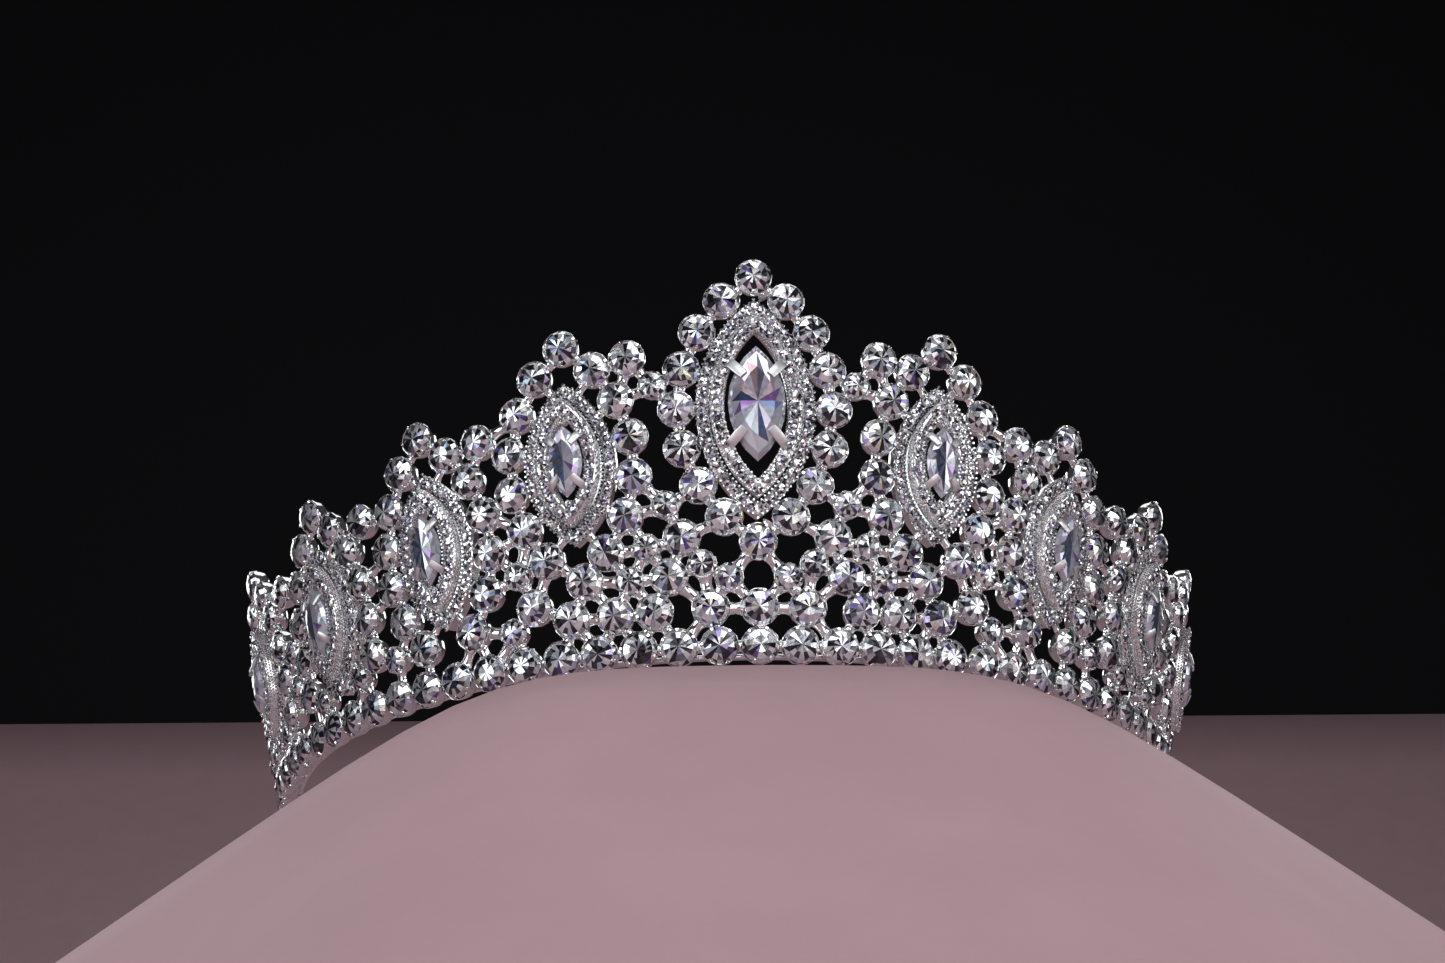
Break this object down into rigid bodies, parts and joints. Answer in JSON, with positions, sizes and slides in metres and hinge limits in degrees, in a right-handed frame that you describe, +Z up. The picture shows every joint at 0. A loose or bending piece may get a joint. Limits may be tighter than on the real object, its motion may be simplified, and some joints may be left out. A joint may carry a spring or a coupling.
{
  "type": "bridal tiara",
  "caption": "Openwork bridal tiara: a flared band of round rhinestones with pointed-oval motifs, each holding a marquise crystal in a raised pave halo.",
  "frame": {"origin": "on the plane the tiara stands on, under the middle of its overall box", "axes": "+Z up, the front faces -Y, +X to the right seen from the front; the band is open at +Y, behind the head"},
  "size_m": [0.1584, 0.1156, 0.0558],
  "materials": {
    "silver_casting": "polished rhodium-tone casting",
    "pave_casting": "bead-set casting",
    "marquise_crystal": "cut and polished, faint lavender tint",
    "round_rhinestone": "cut and foiled"
  },
  "bodies": {
    "root": {"base_row_front": "silver_casting", "frame_centre": "pave_casting", "halo_centre": "pave_casting", "crystal_centre": "marquise_crystal", "tip_stone_centre": "round_rhinestone", "frame_left_1": "pave_casting", "halo_left_1": "pave_casting", "crystal_left_1": "marquise_crystal", "tip_stone_left_1": "round_rhinestone", "valley_stone_left_1": "round_rhinestone", "frame_left_2": "pave_casting", "halo_left_2": "pave_casting", "crystal_left_2": "marquise_crystal", "tip_stone_left_2": "round_rhinestone", "valley_stone_left_2": "round_rhinestone", "frame_left_3": "pave_casting", "halo_left_3": "pave_casting", "crystal_left_3": "marquise_crystal", "tip_stone_left_3": "round_rhinestone", "valley_stone_left_3": "round_rhinestone", "frame_left_4": "pave_casting", "halo_left_4": "pave_casting", "crystal_left_4": "marquise_crystal", "tip_stone_left_4": "round_rhinestone", "valley_stone_left_4": "round_rhinestone", "lattice_left_1": "silver_casting", "lattice_left_2": "silver_casting", "lattice_left_3": "silver_casting", "lattice_left_4": "silver_casting", "base_row_left": "silver_casting", "end_section_left": "silver_casting", "end_loop_left": "silver_casting", "frame_right_1": "pave_casting", "halo_right_1": "pave_casting", "crystal_right_1": "marquise_crystal", "tip_stone_right_1": "round_rhinestone", "valley_stone_right_1": "round_rhinestone", "frame_right_2": "pave_casting", "halo_right_2": "pave_casting", "crystal_right_2": "marquise_crystal", "tip_stone_right_2": "round_rhinestone", "valley_stone_right_2": "round_rhinestone", "frame_right_3": "pave_casting", "halo_right_3": "pave_casting", "crystal_right_3": "marquise_crystal", "tip_stone_right_3": "round_rhinestone", "valley_stone_right_3": "round_rhinestone", "frame_right_4": "pave_casting", "halo_right_4": "pave_casting", "crystal_right_4": "marquise_crystal", "tip_stone_right_4": "round_rhinestone", "valley_stone_right_4": "round_rhinestone", "lattice_right_1": "silver_casting", "lattice_right_2": "silver_casting", "lattice_right_3": "silver_casting", "lattice_right_4": "silver_casting", "base_row_right": "silver_casting", "end_section_right": "silver_casting", "end_loop_right": "silver_casting"}
  },
  "joints": []
}
